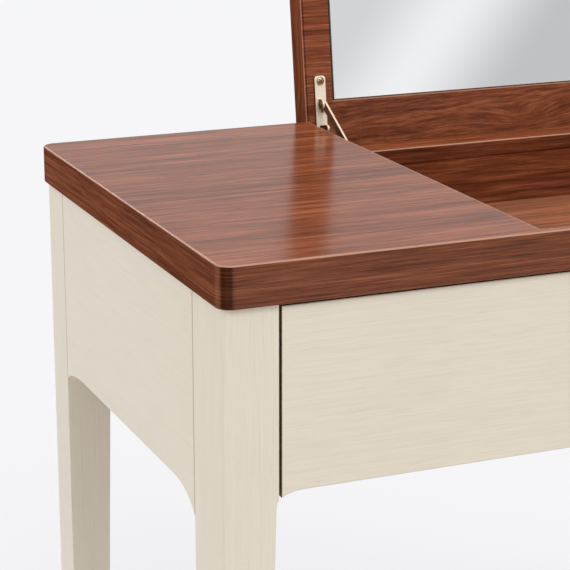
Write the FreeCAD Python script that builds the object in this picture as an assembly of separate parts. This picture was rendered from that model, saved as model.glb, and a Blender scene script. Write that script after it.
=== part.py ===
"""Flip top vanity table: walnut top with a mirrored lid, painted frame, two drawers.

Each function below makes one piece, or one group of like pieces, where it lies in the
table with the lid open and the drawers shut. +X is the user's right, +Y the back of the
table and +Z up. Z = 0 is the floor, X = 0 the middle of the table, and Y = 0 halfway
between the front edge and the furthest reach of the open lid behind it.
"""
import FreeCAD, Part
import math
import os
from FreeCAD import Vector

# ---- Driving dimensions, in millimetres and degrees ----

# Whole table
width = 1000.0
depth = 450.0
height = 750.0
overhang = 4.0                  # top past the faces of the legs and aprons

# Top panel
top_thickness = 33.0
top_corner_radius = 12.0
top_edge_round = 1.8
opening_width = 476.0
opening_corner_radius = 3.0
lip_width = 9.0                 # strip of the top in front of the lid

# Lid and mirror
lid_thickness = 26.0
lid_gap = 1.5                   # beside and in front of the closed lid
lid_clearance = 0.5             # between the closed lid and the rear ledge
lid_open_angle = 98.0
lid_edge_round = 1.2
notch_width = 84.0              # finger notch in the lid's front edge
notch_depth = 13.0
stile_width = 29.5
lower_band = 48.5               # lid's rear edge to the mirror
upper_band = 34.0
mirror_thickness = 4.0
mirror_tape_thickness = 1.0
mirror_tape_width = 24.0
mirror_edge_gap = 0.8
bumper_radius = 5.0
bumper_height = 1.0
bumper_gap = 0.3

# Legs
leg_width = 43.0                # along X beside the drawers
front_leg_depth = 64.0
rear_leg_depth = 46.0
foot_width = 26.0
leg_corner_radius = 6.5
leg_edge_round = 1.2
glide_height = 3.0
glide_radius = 11.0

# Aprons
apron_thickness = 18.0
side_apron_height = 163.0
side_arch_reach = 48.0
front_arch_drop = 24.0
rear_arch_drop = 14.0
rear_apron_height = 158.0
seam_gap = 1.7                  # slot beside a side apron's outer face
seam_depth = 3.0
seam_bevel = 0.4

# Front rail, behind the drawer fronts
rail_thickness = 18.0
rail_gap = 2.0                  # drawer front to rail

# Drawers
front_thickness = 20.0
front_height = 143.3
front_gap = 2.0                 # shadow gap round each drawer front
front_edge_round = 1.0
corner_curve_reach = 20.0       # curve that joins the lower edge to the leg
corner_curve_drop = 10.5
corner_curve_in_leg = 2.0
drawer_side_height = 66.0
drawer_side_thickness = 13.0
drawer_side_clearance = 3.0     # bearer or divider to drawer side
drawer_rear_clearance = 24.0    # rear apron to drawer box
drawer_top_clearance = 6.0      # compartment floor to drawer side
drawer_bottom_thickness = 5.0
drawer_bottom_rise = 6.0
groove_depth = 5.0
runner_height = 12.0
runner_engagement = 6.0
runner_clearance = 0.3
runner_end_clearance = 8.0      # runner's rear end to the drawer box's rear end
divider_thickness = 18.0
bearer_height = 45.0

# Compartment under the lid
compartment_depth = 89.0        # upper face of the top to the floor board
floor_thickness = 9.0
side_wall_thickness = 12.0
front_wall_thickness = 9.0
ledge_width = 32.0
ledge_thickness = 15.0
ledge_nose = 1.5                # ledge past the rear wall
ledge_edge_round = 1.5
ledge_notch_width = 27.0        # room for the stay plate when the lid is shut
ledge_notch_depth = 17.0
scoop_width = 96.0              # finger room under the lid's notch
scoop_depth = 14.0

# Corner blocks and fasteners
block_reach = 60.0
block_thickness = 25.0
bolt_radius = 3.0
bolt_length = 52.0
bolt_head_radius = 6.5
bolt_head_height = 4.0
screw_radius = 2.0
screw_head_radius = 4.0
top_screw_bite = 15.0           # screw in the top panel
dowel_radius = 4.0
dowel_length = 30.0

# Butt hinges behind the lid
hinge_length = 50.0
hinge_spacing = 300.0
hinge_drop = 4.0                # ledge's upper face to the hinge axis
frame_leaf_height = 10.0
lid_leaf_height = 15.5
hinge_leaf_thickness = 1.5
knuckle_radius = 2.75
knuckle_relief = 0.3
knuckle_count = 5
hinge_pin_radius = 1.25
pin_clearance = 0.05
hinge_screw_radius = 1.2
hinge_screw_length = 12.0

# Lid stays
stay_plate_inset = 10.0         # lid's side edge to the plate
stay_plate_width = 11.0
stay_plate_thickness = 2.0
stay_plate_start = 17.0         # along the lid from the hinge axis
stay_plate_length = 55.0
stay_pivot_along = 45.3
stay_pivot_off = 2.25
stay_arm_length = 145.0
stay_arm_height = 8.0
stay_arm_thickness = 2.0
stay_arm_inset = 18.0           # opening's edge to the middle of the arm
stay_arm_slope = 29.0           # below the horizontal, lid open
stay_arm_ratio = -1.2           # arm's turn on the lid per turn of the lid
stay_gap = 0.3
rivet_radius = 2.0
rivet_head_radius = 3.5
rivet_head_height = 1.4
guide_pin_radius = 2.5
guide_pin_length = 11.0
groove_play = 0.5
track_thickness = 11.0
track_groove_depth = 7.0
track_margin = 6.0
track_screw_radius = 1.5

# ---- Levels and planes that follow from them ----

top_z = height
under_top = top_z - top_thickness
half_opening = opening_width / 2
half_lid = half_opening - lid_gap
lid_reach = depth - lip_width - lid_gap
lean = math.radians(lid_open_angle - 90)
lid_rise = lid_thickness + lid_clearance + hinge_drop
rear_reach = (depth + lid_edge_round
              + (lid_reach - lid_edge_round) * math.sin(lean)
              + (lid_rise - lid_edge_round) * math.cos(lean))
front = -rear_reach / 2
rear = front + depth

leg_outer = width / 2 - overhang
leg_inner = leg_outer - leg_width
frame_front = front + overhang
frame_rear = rear - overhang
front_leg_back = frame_front + front_leg_depth
rear_leg_front = frame_rear - rear_leg_depth
apron_inner = leg_outer - apron_thickness
rear_apron_front = frame_rear - apron_thickness
rail_front = frame_front + front_thickness + rail_gap
rail_back = rail_front + rail_thickness
lip_back = front + lip_width

floor_top = top_z - compartment_depth
floor_under = floor_top - floor_thickness
shelf_top = top_z - lid_thickness - bumper_gap - bumper_height
ledge_top = top_z - lid_thickness - lid_clearance
ledge_under = ledge_top - ledge_thickness
ledge_front = rear - ledge_width
hinge_z = ledge_top - hinge_drop
hinge_axis = Vector(0, rear, hinge_z)
wall_outer = half_opening + side_wall_thickness

front_top = under_top - front_gap
front_bottom = front_top - front_height
curve_centre_x = leg_inner + corner_curve_in_leg - corner_curve_reach
curve_bottom = front_bottom - corner_curve_drop
drawer_side_top = floor_under - drawer_top_clearance
drawer_side_bottom = drawer_side_top - drawer_side_height
drawer_back = rear_apron_front - drawer_rear_clearance
runner_z = (drawer_side_top + drawer_side_bottom) / 2
runner_thickness = drawer_side_clearance + runner_engagement
runner_start = rail_back + front_gap
runner_end = drawer_back - runner_end_clearance

plate_outer = half_lid - stay_plate_inset
plate_inner = plate_outer - stay_plate_width
plate_mid = (plate_outer + plate_inner) / 2
arm_x = half_opening - stay_arm_inset
stay_pivot_closed = Vector(0, rear - stay_pivot_along, hinge_z - stay_pivot_off)


# ---- Drawing helpers ----

def box(x0, x1, y0, y1, z0, z1):
    """A block between two opposite corners."""
    return Part.makeBox(x1 - x0, y1 - y0, z1 - z0, Vector(x0, y0, z0))


def rod(start, end, radius):
    """A round bar from one point to another."""
    return Part.makeCylinder(radius, (end - start).Length, start, end - start)


def span(edge, axis):
    """Lowest and highest coordinate of an edge along X, Y or Z."""
    limits = edge.BoundBox
    return {"x": (limits.XMin, limits.XMax),
            "y": (limits.YMin, limits.YMax),
            "z": (limits.ZMin, limits.ZMax)}[axis]


def lies_at(edge, axis, value):
    """Whether an edge lies wholly in the plane axis = value."""
    low, high = span(edge, axis)
    return abs(low - value) < 0.01 and abs(high - value) < 0.01


def ease(shape, radius, picked):
    """Round the edges that picked chooses."""
    return shape.makeFillet(radius, [edge for edge in shape.Edges if picked(edge)])


def mirrored(shape):
    """The same piece for the other side of the table."""
    return shape.mirror(Vector(0, 0, 0), Vector(1, 0, 0))


def both_sides(shape):
    """A piece and its mirror image, as separate solids."""
    return Part.makeCompound([shape, mirrored(shape)])


def opened(shape):
    """Turn a shape drawn on the closed lid to where it lies with the lid open."""
    turned = shape.copy()
    turned.rotate(hinge_axis, Vector(1, 0, 0), -lid_open_angle)
    return turned


class Outline:
    """A closed outline of lines and arcs, drawn in its own u, v plane."""

    def __init__(self, u, v):
        self.start = self.here = Vector(u, v, 0)
        self.edges = []

    def line(self, u, v):
        there = Vector(u, v, 0)
        self.edges.append(Part.LineSegment(self.here, there).toShape())
        self.here = there
        return self

    def ellipse(self, centre, reach, drop, start_angle, end_angle):
        """Part of an ellipse with its long axis along u, from one angle to another."""
        whole = Part.Ellipse(Vector(centre[0], centre[1], 0), reach, drop)
        low, high = sorted((math.radians(start_angle), math.radians(end_angle)))
        self.edges.append(Part.ArcOfEllipse(whole, low, high).toShape())
        turn = math.radians(end_angle)
        self.here = Vector(centre[0] + reach * math.cos(turn), centre[1] + drop * math.sin(turn), 0)
        return self

    def arc(self, centre, radius, start_angle, end_angle):
        """Part of a circle, from one angle to another."""
        whole = Part.Circle(Vector(centre[0], centre[1], 0), Vector(0, 0, 1), radius)
        low, high = sorted((math.radians(start_angle), math.radians(end_angle)))
        self.edges.append(Part.ArcOfCircle(whole, low, high).toShape())
        turn = math.radians(end_angle)
        self.here = Vector(centre[0] + radius * math.cos(turn), centre[1] + radius * math.sin(turn), 0)
        return self

    def face(self):
        if (self.here - self.start).Length > 1e-6:
            self.line(self.start.x, self.start.y)
        return Part.Face(Part.Wire(Part.__sortEdges__(self.edges)))

    def along_y(self, y0, y1):
        """Solid with u along X and v along Z, between two Y planes."""
        solid = self.face().extrude(Vector(0, 0, y1 - y0))
        solid.rotate(Vector(0, 0, 0), Vector(1, 0, 0), 90)
        solid.translate(Vector(0, y1, 0))
        return solid

    def along_x(self, x0, x1):
        """Solid with u along Y and v along Z, between two X planes."""
        solid = self.face().extrude(Vector(0, 0, x1 - x0))
        solid.rotate(Vector(0, 0, 0), Vector(1, 1, 1), 120)
        solid.translate(Vector(x0, 0, 0))
        return solid

    def along_z(self, z0, z1):
        """Solid with u along X and v along Y, between two levels."""
        solid = self.face().extrude(Vector(0, 0, z1 - z0))
        solid.translate(Vector(0, 0, z0))
        return solid


def countersunk_screw(head, direction, length, radius, head_radius):
    """A screw whose flat head is flush at the point head and that bites along direction."""
    way = Vector(direction).normalize()
    cone_height = head_radius - radius
    cone = Part.makeCone(head_radius, radius, cone_height, head, way)
    tip = 2 * radius
    shank = Part.makeCylinder(radius, length - cone_height - tip, head + way * cone_height, way)
    point = Part.makeCone(radius, radius / 4, tip, head + way * (length - tip), way)
    return cone.fuse([shank, point]).removeSplitter()


def pan_screw(seat, direction, length, radius, head_radius, head_height):
    """A screw whose domed head stands on a surface at seat and that bites along direction."""
    way = Vector(direction).normalize()
    dome = Part.makeCylinder(head_radius, head_height, seat - way * head_height, way)
    dome = dome.makeFillet(head_height * 0.7, [edge for edge in dome.Edges
                           if (edge.CenterOfMass - seat + way * head_height).Length < 0.01])
    shank = Part.makeCylinder(radius, length - 2 * radius, seat, way)
    point = Part.makeCone(radius, radius / 4, 2 * radius, seat + way * (length - 2 * radius), way)
    return dome.fuse([shank, point]).removeSplitter()


# ---- Fasteners, made first because the pieces they hold are bored with them ----

def corner_block_outline(y_leg, y_rail, way):
    """Outline of a left corner block round a leg: way is +1 at the front, -1 at the rear."""
    return (Outline(-apron_inner, y_leg)
            .line(-leg_inner, y_leg)
            .line(-leg_inner, y_rail)
            .line(-leg_inner + block_reach, y_rail)
            .line(-apron_inner, y_rail + way * (block_reach + apron_inner - leg_inner)))


def corner_blocks():
    """Four glued blocks, one behind each leg, under the top."""
    front_block = corner_block_outline(front_leg_back, rail_back, 1)
    rear_block = corner_block_outline(rear_leg_front, rear_apron_front, -1)
    solids = []
    for outline in (front_block, rear_block):
        solid = outline.along_z(under_top - block_thickness, under_top)
        solids += [solid, mirrored(solid)]
    return Part.makeCompound(solids).cut(all_fasteners)


def block_face_middle(y_rail, way):
    """Middle of the slanted face of a left corner block."""
    reach = block_reach + apron_inner - leg_inner
    return Vector(-apron_inner + reach / 2, y_rail + way * reach / 2, under_top - block_thickness / 2)


def corner_bolts():
    """Hex-headed bolts that pull each leg into its corner block."""
    solids = []
    for y_rail, way in ((rail_back, 1), (rear_apron_front, -1)):
        seat = block_face_middle(y_rail, way)
        inward = Vector(-1, -way, 0).normalize()
        shank = Part.makeCylinder(bolt_radius, bolt_length, seat, inward)
        corners = []
        sideways = Vector(way, -1, 0).normalize()
        for step in range(7):
            turn = math.radians(60 * step)
            corners.append(seat + sideways * (bolt_head_radius * math.cos(turn))
                           + Vector(0, 0, bolt_head_radius * math.sin(turn)))
        head = Part.Face(Part.makePolygon(corners)).extrude(inward * -bolt_head_height)
        bolt = shank.fuse(head)
        solids += [bolt, mirrored(bolt)]
    return Part.makeCompound(solids)


def top_screws():
    """Two screws up through each corner block into the top."""
    solids = []
    reach = block_reach + apron_inner - leg_inner
    side_step = screw_head_radius * 2.5
    for y_rail, way in ((rail_back, 1), (rear_apron_front, -1)):
        near_side = Vector(-apron_inner + side_step, y_rail + way * (reach - 3 * side_step), 0)
        near_rail = Vector(-apron_inner + reach - 3 * side_step, y_rail + way * side_step, 0)
        for spot in (near_side, near_rail):
            spot.z = under_top - block_thickness
            screw = countersunk_screw(spot, Vector(0, 0, 1), block_thickness + top_screw_bite,
                                      screw_radius, screw_head_radius)
            solids += [screw, mirrored(screw)]
    return Part.makeCompound(solids)


def frame_dowels():
    """Wooden dowels between the legs and the rail and aprons, two in each joint."""
    half = dowel_length / 2
    solids = []

    def dowel(middle, way):
        pin = rod(middle - way * half, middle + way * half, dowel_radius)
        solids.extend([pin, mirrored(pin)])

    rail_mid = (rail_front + rail_back) / 2
    rear_mid = (rear_apron_front + frame_rear) / 2
    side_mid = (leg_outer + apron_inner) / 2
    rail_height = under_top - floor_under
    for share in (0.3, 0.75):
        rail_level = under_top - rail_height * share
        dowel(Vector(-leg_inner, rail_mid, rail_level), Vector(1, 0, 0))
        side_level = under_top - side_apron_height * share
        dowel(Vector(-side_mid, front_leg_back, side_level), Vector(0, 1, 0))
        dowel(Vector(-side_mid, rear_leg_front, side_level), Vector(0, 1, 0))
        rear_level = under_top - rear_apron_height * share - 2 * dowel_radius
        dowel(Vector(-leg_inner, rear_mid, rear_level), Vector(1, 0, 0))
    return Part.makeCompound(solids)


top_screw_solids = top_screws()
corner_bolt_solids = corner_bolts()
dowel_solids = frame_dowels()
all_fasteners = Part.makeCompound([top_screw_solids, corner_bolt_solids, dowel_solids])


# ---- Top panel and frame ----

def lid_well(z0):
    """The rounded opening that the lid drops into, from a level up."""
    well = box(-half_opening, half_opening, lip_back, rear + 1, z0, top_z + 1)
    return ease(well, opening_corner_radius,
                lambda edge: lies_at(edge, "y", lip_back) and not lies_at(edge, "z", span(edge, "z")[0]))


def finger_scoop():
    """Room for the fingers under the notch in the lid's front edge."""
    return box(-scoop_width / 2, scoop_width / 2, lip_back, rail_back + front_wall_thickness + 1,
               shelf_top - scoop_depth, top_z)


def top_panel():
    """Veneered slab, open from a narrow front lip through to the rear."""
    slab = box(-width / 2, width / 2, front, rear, under_top, top_z)
    slab = ease(slab, top_corner_radius, lambda edge: lies_at(edge, "z", top_z) is False
                and lies_at(edge, "z", under_top) is False)
    behind_shelf = box(-half_opening, half_opening, rail_back, rear + 1, under_top - 1, top_z + 1)
    slab = slab.cut([lid_well(shelf_top), behind_shelf, finger_scoop()])
    slab = ease(slab, opening_corner_radius,
                lambda edge: lies_at(edge, "y", rear) and (lies_at(edge, "x", half_opening)
                                                           or lies_at(edge, "x", -half_opening)))
    slab = ease(slab, top_edge_round, lambda edge: lies_at(edge, "z", top_z))
    slab = ease(slab, top_edge_round, lambda edge: lies_at(edge, "z", under_top)
                and lies_at(edge, "y", front))
    return slab.cut(top_screw_solids)


def left_leg(y0, y1, outer_y):
    """A leg with a rounded outer corner, tapered on its inner side only."""
    curve_at = math.degrees(math.acos((corner_curve_reach - corner_curve_in_leg)
                                      / corner_curve_reach))
    outline = (Outline(-leg_outer, under_top)
               .line(-leg_inner, under_top)
               .line(-leg_inner, curve_bottom + corner_curve_drop * math.sin(math.radians(curve_at)))
               .ellipse((-curve_centre_x, curve_bottom), corner_curve_reach, corner_curve_drop,
                        180 - curve_at, 180)
               .line(-leg_outer + foot_width, glide_height)
               .line(-leg_outer, glide_height))
    leg = outline.along_y(y0, y1)
    leg = ease(leg, leg_corner_radius,
               lambda edge: lies_at(edge, "x", -leg_outer) and lies_at(edge, "y", outer_y))
    inner_y = y0 + y1 - outer_y
    bevelled = [edge for edge in leg.Edges
                if lies_at(edge, "x", -leg_outer) and lies_at(edge, "y", inner_y)]
    leg = leg.makeChamfer(seam_bevel, bevelled)
    leg = ease(leg, leg_edge_round, lambda edge: lies_at(edge, "y", outer_y)
               and span(edge, "x")[1] > -leg_outer + foot_width - leg_edge_round
               and not lies_at(edge, "z", under_top) and not lies_at(edge, "z", glide_height))
    return leg.cut(all_fasteners)


def front_leg():
    return left_leg(frame_front, front_leg_back, frame_front)


def rear_leg():
    return left_leg(rear_leg_front, frame_rear, frame_rear)


def left_side_apron():
    """Side apron between the legs, with an arched lower edge."""
    flat = under_top - side_apron_height
    front_spring = flat - front_arch_drop
    rear_spring = flat - rear_arch_drop
    front_centre = front_leg_back + side_arch_reach
    rear_centre = rear_leg_front - side_arch_reach
    outline = (Outline(front_leg_back, under_top)
               .line(rear_leg_front, under_top)
               .line(rear_leg_front, rear_spring)
               .ellipse((rear_centre, rear_spring), side_arch_reach, rear_arch_drop, 0, 90)
               .line(front_centre, flat)
               .ellipse((front_centre, front_spring), side_arch_reach, front_arch_drop, 90, 180))
    apron = outline.along_x(-leg_outer, -apron_inner)
    face_ends = (front_leg_back + seam_gap, rear_leg_front - seam_gap)
    slots = [box(-leg_outer - 1, -leg_outer + seam_depth, y - seam_gap, y + seam_gap, front_spring, under_top)
             for y in (front_leg_back, rear_leg_front)]
    apron = apron.cut(slots)
    bevelled = [edge for edge in apron.Edges if lies_at(edge, "x", -leg_outer)
                and (lies_at(edge, "y", face_ends[0]) or lies_at(edge, "y", face_ends[1]))]
    return apron.makeChamfer(seam_bevel, bevelled).cut(all_fasteners)


def rear_apron():
    """Rear apron between the rear legs, lowered in the middle to carry the ledge."""
    apron = box(-leg_inner, leg_inner, rear_apron_front, frame_rear,
                under_top - rear_apron_height, under_top)
    seat = box(-half_opening, half_opening, rear_apron_front - 1, frame_rear + 1,
               ledge_under, under_top + 1)
    return apron.cut([seat, dowel_solids])


def front_rail():
    """Rail from leg to leg under the top, hidden behind the drawer fronts."""
    rail = box(-leg_inner, leg_inner, rail_front, rail_back, floor_under, under_top)
    return rail.cut([lid_well(shelf_top), finger_scoop(), dowel_solids])


def centre_divider():
    """Board between the drawers that hangs from the rail, the floor and the rear apron."""
    half = divider_thickness / 2
    return box(-half, half, rail_front, rear_apron_front, drawer_side_bottom, floor_under)


def left_bearer():
    """Packing piece on the side apron that brings the runner flush with the legs."""
    return box(-apron_inner, -leg_inner, front_leg_back, rear_leg_front,
               runner_z - bearer_height / 2, runner_z + bearer_height / 2)


def left_runners():
    """The left drawer's two wooden runners, on the bearer and on the divider."""
    half = runner_height / 2
    outer = box(-leg_inner, -leg_inner + runner_thickness, runner_start, runner_end,
                runner_z - half, runner_z + half)
    face = -divider_thickness / 2
    inner = box(face - runner_thickness, face, runner_start, runner_end,
                runner_z - half, runner_z + half)
    return Part.makeCompound([outer, inner])


def leg_glides():
    """Four round plastic glides under the feet."""
    solids = []
    for y0, y1 in ((frame_front, front_leg_back), (rear_leg_front, frame_rear)):
        middle = Vector(-leg_outer + foot_width / 2, (y0 + y1) / 2, 0)
        glide = Part.makeCylinder(glide_radius, glide_height, middle)
        glide = ease(glide, glide_height / 3, lambda edge: lies_at(edge, "z", 0))
        solids += [glide, mirrored(glide)]
    return Part.makeCompound(solids)


# ---- Compartment under the lid ----

def compartment_floor():
    return box(-wall_outer, wall_outer, rail_back, rear_apron_front, floor_under, floor_top)


def left_wall():
    """Side of the compartment, flush with the edge of the opening."""
    wall = box(-wall_outer, -half_opening, rail_back, rear_apron_front, floor_top, under_top)
    return wall.cut(track_screws())


def front_wall():
    wall = box(-half_opening, half_opening, rail_back, rail_back + front_wall_thickness,
               floor_top, shelf_top)
    return wall.cut(finger_scoop())


def rear_wall():
    return box(-half_opening, half_opening, ledge_front + ledge_nose, rear_apron_front,
               floor_top, ledge_under)


def ledge():
    """Board behind the compartment that the hinges are let into, notched for the stays."""
    board = box(-half_opening, half_opening, ledge_front, rear, ledge_under, ledge_top)
    board = ease(board, ledge_edge_round, lambda edge: lies_at(edge, "y", ledge_front)
                 and (lies_at(edge, "z", ledge_top) or lies_at(edge, "z", ledge_under)))
    notch = box(half_opening - ledge_notch_width, half_opening + 1, ledge_front - 1,
                ledge_front + ledge_notch_depth, ledge_under - 1, ledge_top + 1)
    pockets = [ledge_pocket(x) for x in hinge_middles]
    return board.cut([notch, mirrored(notch)] + pockets + [hinge_screws(-1)])


# ---- Hinges ----

hinge_middles = (-hinge_spacing / 2, hinge_spacing / 2)
leaf_front = rear - hinge_leaf_thickness


def leaf_box(x, way, ease_by=0.0):
    """One leaf, from the hinge axis down the ledge (way -1) or up the closed lid (way +1)."""
    reach = frame_leaf_height if way < 0 else lid_leaf_height
    z0, z1 = sorted((hinge_z, hinge_z + way * reach))
    half = hinge_length / 2 + ease_by
    return box(x - half, x + half, leaf_front - ease_by, rear, z0, z1)


def on_axis(x0, x1, radius):
    """A bar along the hinge axis."""
    return rod(Vector(x0, rear, hinge_z), Vector(x1, rear, hinge_z), radius)


def ledge_pocket(x):
    """Recess in the ledge for the frame's leaf and the knuckles, and a way out for the lid's leaf."""
    half = hinge_length / 2 + knuckle_relief
    return leaf_box(x, -1).fuse([leaf_box(x, 1, knuckle_relief),
                                 on_axis(x - half, x + half, knuckle_radius + knuckle_relief)])


def hinge_leaf(x, way):
    """Leaf with its own knuckles, drawn with the lid closed."""
    x0 = x - hinge_length / 2
    step = hinge_length / knuckle_count
    rings, gaps = [], []
    for index in range(knuckle_count):
        start = x0 + index * step
        if (index % 2 == 0) == (way < 0):
            ring_start = start + (pin_clearance if index else 0)
            ring_end = start + step - (pin_clearance if index < knuckle_count - 1 else 0)
            rings.append(on_axis(ring_start, ring_end, knuckle_radius))
        else:
            gaps.append(on_axis(start - pin_clearance, start + step + pin_clearance,
                                knuckle_radius + knuckle_relief))
    bore = hinge_pin_radius + (pin_clearance if way > 0 else 0)
    hole = on_axis(x0 - 1, x0 + hinge_length + 1, bore)
    return leaf_box(x, way).cut(gaps).fuse(rings).cut([hole, hinge_screws(way)])


def hinge_pin(x):
    return on_axis(x - hinge_length / 2, x + hinge_length / 2, hinge_pin_radius)


def hinge_screws(way):
    """Three screws in each leaf, below the hinge axis (way -1) or in the closed lid (way +1)."""
    if way < 0:
        level = hinge_z - (knuckle_radius + frame_leaf_height) / 2
    else:
        level = (top_z - lid_thickness + hinge_z + lid_leaf_height) / 2
    solids = []
    for x in hinge_middles:
        for step in (-1, 0, 1):
            head = Vector(x + step * hinge_length * 0.36, rear, level)
            solids.append(countersunk_screw(head, Vector(0, -1, 0), hinge_screw_length,
                                            hinge_screw_radius, 2 * hinge_screw_radius))
    return Part.makeCompound(solids)


# ---- Lid, drawn closed and then opened ----

lid_front = lip_back + lid_gap
lid_under = top_z - lid_thickness
mirror_half = half_lid - stile_width
mirror_rear = rear - lower_band
mirror_front = lid_front + upper_band


def closed_lid():
    """Veneered panel with a recess for the mirror in its underside and a finger notch."""
    panel = box(-half_lid, half_lid, lid_front, rear, lid_under, top_z)
    panel = ease(panel, opening_corner_radius,
                 lambda edge: lies_at(edge, "y", lid_front) and not lies_at(edge, "z", span(edge, "z")[0]))
    sagitta_radius = (notch_depth ** 2 + (notch_width / 2) ** 2) / (2 * notch_depth)
    notch = Part.makeCylinder(sagitta_radius, lid_thickness + 2,
                              Vector(0, lid_front + notch_depth - sagitta_radius, lid_under - 1))
    panel = panel.cut(notch)
    panel = ease(panel, lid_edge_round,
                 lambda edge: lies_at(edge, "z", top_z) or lies_at(edge, "z", lid_under))
    recess = box(-mirror_half - mirror_edge_gap, mirror_half + mirror_edge_gap,
                 mirror_front - mirror_edge_gap, mirror_rear + mirror_edge_gap,
                 lid_under - 1, lid_under + mirror_thickness + mirror_tape_thickness)
    pockets = [leaf_box(x, 1) for x in hinge_middles]
    return panel.cut([recess] + pockets + [hinge_screws(1), stay_plate_screws()])


def closed_mirror():
    glass = box(-mirror_half, mirror_half, mirror_front, mirror_rear, lid_under, lid_under + mirror_thickness)
    return glass.makeChamfer(mirror_edge_gap / 2,
                             [edge for edge in glass.Edges if lies_at(edge, "z", lid_under)])


def closed_mirror_tape():
    """Strips of double-sided foam tape behind the mirror."""
    z0 = lid_under + mirror_thickness
    strips = []
    for share in (-0.7, 0.0, 0.7):
        x = mirror_half * share
        strips.append(box(x - mirror_tape_width / 2, x + mirror_tape_width / 2,
                          mirror_front + mirror_tape_width, mirror_rear - mirror_tape_width,
                          z0, z0 + mirror_tape_thickness))
    return Part.makeCompound(strips)


def lid_bumpers():
    """Two soft pads on the shelf, under the closed lid's front corners."""
    spot = Vector(-half_opening + 4 * bumper_radius, (lip_back + rail_back) / 2, shelf_top)
    pad = Part.makeCylinder(bumper_radius, bumper_height, spot)
    pad = ease(pad, bumper_height / 2, lambda edge: lies_at(edge, "z", shelf_top + bumper_height))
    return both_sides(pad)


# ---- Lid stays, drawn on the left ----

ear_x1 = -arm_x - stay_arm_thickness / 2 - stay_gap
ear_x0 = ear_x1 - stay_plate_thickness
plate_face = lid_under - stay_plate_thickness


def stay_plate():
    """Pressed plate on the lid with a pivot ear, an arm stop and a locating lug, closed pose."""
    y_start = rear - stay_plate_start
    y_end = y_start - stay_plate_length
    plate = box(-plate_outer, -plate_inner, y_end, y_start, plate_face, lid_under)
    plate = ease(plate, stay_plate_width * 0.25,
                 lambda edge: lies_at(edge, "y", y_end) and not lies_at(edge, "z", span(edge, "z")[0]))
    pivot = stay_pivot_closed
    ear_radius = stay_pivot_off - (hinge_z - plate_face)
    ear = rod(Vector(ear_x0, pivot.y, pivot.z), Vector(ear_x1, pivot.y, pivot.z), ear_radius)
    foot = box(ear_x0, ear_x1, pivot.y - ear_radius, pivot.y + ear_radius, pivot.z, plate_face)
    window = box(ear_x1, -plate_inner - stay_plate_thickness, pivot.y - ear_radius * 0.8,
                 pivot.y + ear_radius * 0.8, plate_face - 1, lid_under + 1)
    lug_y = y_start - stay_plate_width * 0.45
    lug_radius = stay_plate_width * 0.27
    lug_drop = stay_plate_thickness + lug_radius
    lug = rod(Vector(-plate_inner - stay_plate_thickness, lug_y, plate_face - lug_drop + lug_radius),
              Vector(-plate_inner, lug_y, plate_face - lug_drop + lug_radius), lug_radius)
    lug_foot = box(-plate_inner - stay_plate_thickness, -plate_inner, lug_y - lug_radius,
                   lug_y + lug_radius, plate_face - lug_drop + lug_radius, plate_face)
    lug_window = box(-plate_inner - 4 * stay_plate_thickness, -plate_inner - stay_plate_thickness,
                     lug_y - lug_radius, lug_y + lug_radius, plate_face - 1, lid_under + 1)
    plate = plate.cut([window, lug_window]).fuse([ear, foot, lug, lug_foot, arm_stop()])
    return plate.cut([stay_rivet(), stay_plate_screws()]).removeSplitter()


def arm_stop():
    """Tab on the plate that the arm rests against when the lid is fully open, closed pose."""
    away = math.radians(180 - stay_arm_slope - lid_open_angle)
    down_plate = Vector(0, math.cos(away), -math.sin(away))
    across = Vector(0, math.sin(away), math.cos(away))
    near = stay_arm_height / 2 + stay_gap
    start = stay_pivot_closed + across * near
    corners = [start + down_plate * 1.0, start + down_plate * 4.0,
               start + down_plate * 4.0 + across * 2.0]
    foot_y = corners[2].y + 1.0
    corners += [Vector(0, foot_y, plate_face), Vector(0, corners[0].y, plate_face)]
    shifted = [Vector(ear_x1, corner.y, corner.z) for corner in corners]
    profile = Part.Face(Part.makePolygon(shifted + shifted[:1]))
    return profile.extrude(Vector(stay_gap + stay_arm_thickness, 0, 0))


def stay_rivet():
    """Rivet through the plate's ear and the arm, closed pose."""
    y, z = stay_pivot_closed.y, stay_pivot_closed.z
    arm_face = -arm_x + stay_arm_thickness / 2 + stay_gap
    shank = rod(Vector(ear_x0, y, z), Vector(arm_face, y, z), rivet_radius)
    heads = []
    for near, far in ((ear_x0, ear_x0 - rivet_head_height), (arm_face, arm_face + rivet_head_height)):
        head = rod(Vector(near, y, z), Vector(far, y, z), rivet_head_radius)
        heads.append(ease(head, rivet_head_height * 0.7, lambda edge: lies_at(edge, "x", far)))
    return shank.fuse(heads).removeSplitter()


def stay_plate_screws():
    """Pan-headed screws through the two stay plates, closed pose."""
    y = rear - stay_plate_start - stay_plate_length + stay_plate_width * 0.45
    screw = pan_screw(Vector(-plate_mid, y, plate_face), Vector(0, 0, 1),
                      lid_thickness * 0.6, screw_radius * 0.8, rivet_head_radius, stay_plate_thickness * 0.8)
    return both_sides(screw)


def arm_angle(turn):
    """Slope of the arm below the horizontal after the lid has closed by a turn."""
    return math.radians(stay_arm_slope + (1 + stay_arm_ratio) * turn)


def guide_pin_place(turn):
    """Where the arm's guide pin lies after the lid has closed by a turn, X left out."""
    pivot = Part.Point(stay_pivot_closed).toShape()
    pivot.rotate(hinge_axis, Vector(1, 0, 0), turn - lid_open_angle)
    slope = arm_angle(turn)
    return pivot.Point + Vector(0, -math.cos(slope), -math.sin(slope)) * stay_arm_length


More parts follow.
